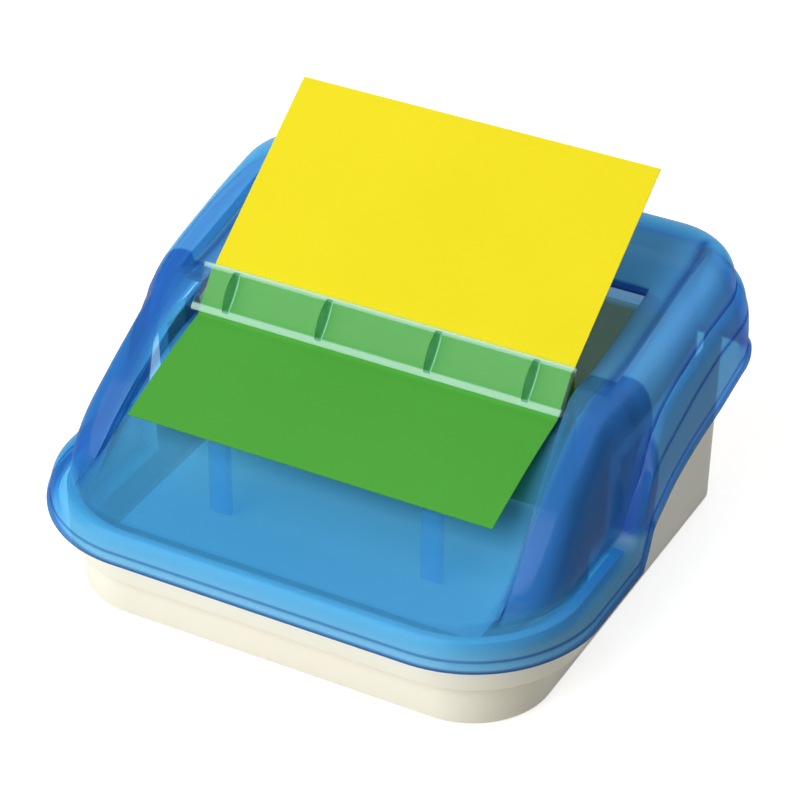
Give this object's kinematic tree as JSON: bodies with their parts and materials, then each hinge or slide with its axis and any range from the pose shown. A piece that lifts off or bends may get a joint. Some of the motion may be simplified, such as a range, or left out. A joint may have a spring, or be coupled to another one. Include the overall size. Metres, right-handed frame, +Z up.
{
  "type": "sticky note dispenser",
  "caption": "Desktop dispenser for pop-up sticky notes: moulded tray with a pad, hinged see-through cover with a scooped front, a slot and a clear bar.",
  "frame": {"origin": "on the desk plane under the middle of the cover's width and depth", "axes": "+Z up, +X to the right as seen from the front, front of the dispenser towards -Y"},
  "size_m": [0.1134, 0.107, 0.076],
  "materials": {
    "tray_ivory": "satin moulded plastic",
    "plate_ivory": "fine texture",
    "ballast_steel": "rolled sheet",
    "screw_steel": "zinc plated",
    "foot_rubber": "matte",
    "cover_blue": "see-through blue, polished",
    "bar_clear": "clear, polished",
    "pad_paper": "cut edges of a paper stack",
    "green_paper": "plain paper",
    "yellow_paper": "plain paper"
  },
  "bodies": {
    "base": {"base_tray": "tray_ivory", "bottom_plate": "plate_ivory", "ballast_plate": "ballast_steel", "plate_screws": "screw_steel", "foot_front_left": "foot_rubber", "foot_front_right": "foot_rubber", "foot_rear_left": "foot_rubber", "foot_rear_right": "foot_rubber", "note_pad": "pad_paper"},
    "lid": {"cover": "cover_blue", "bar": "bar_clear", "green_note": "green_paper", "yellow_note": "yellow_paper"}
  },
  "joints": [
    {"name": "cover_hinge", "type": "hinge", "parent": "base", "child": "lid", "pos_m": [0, 0.0348, 0.0208], "axis": [-1, 0, 0], "range_deg": [0, 75]}
  ]
}
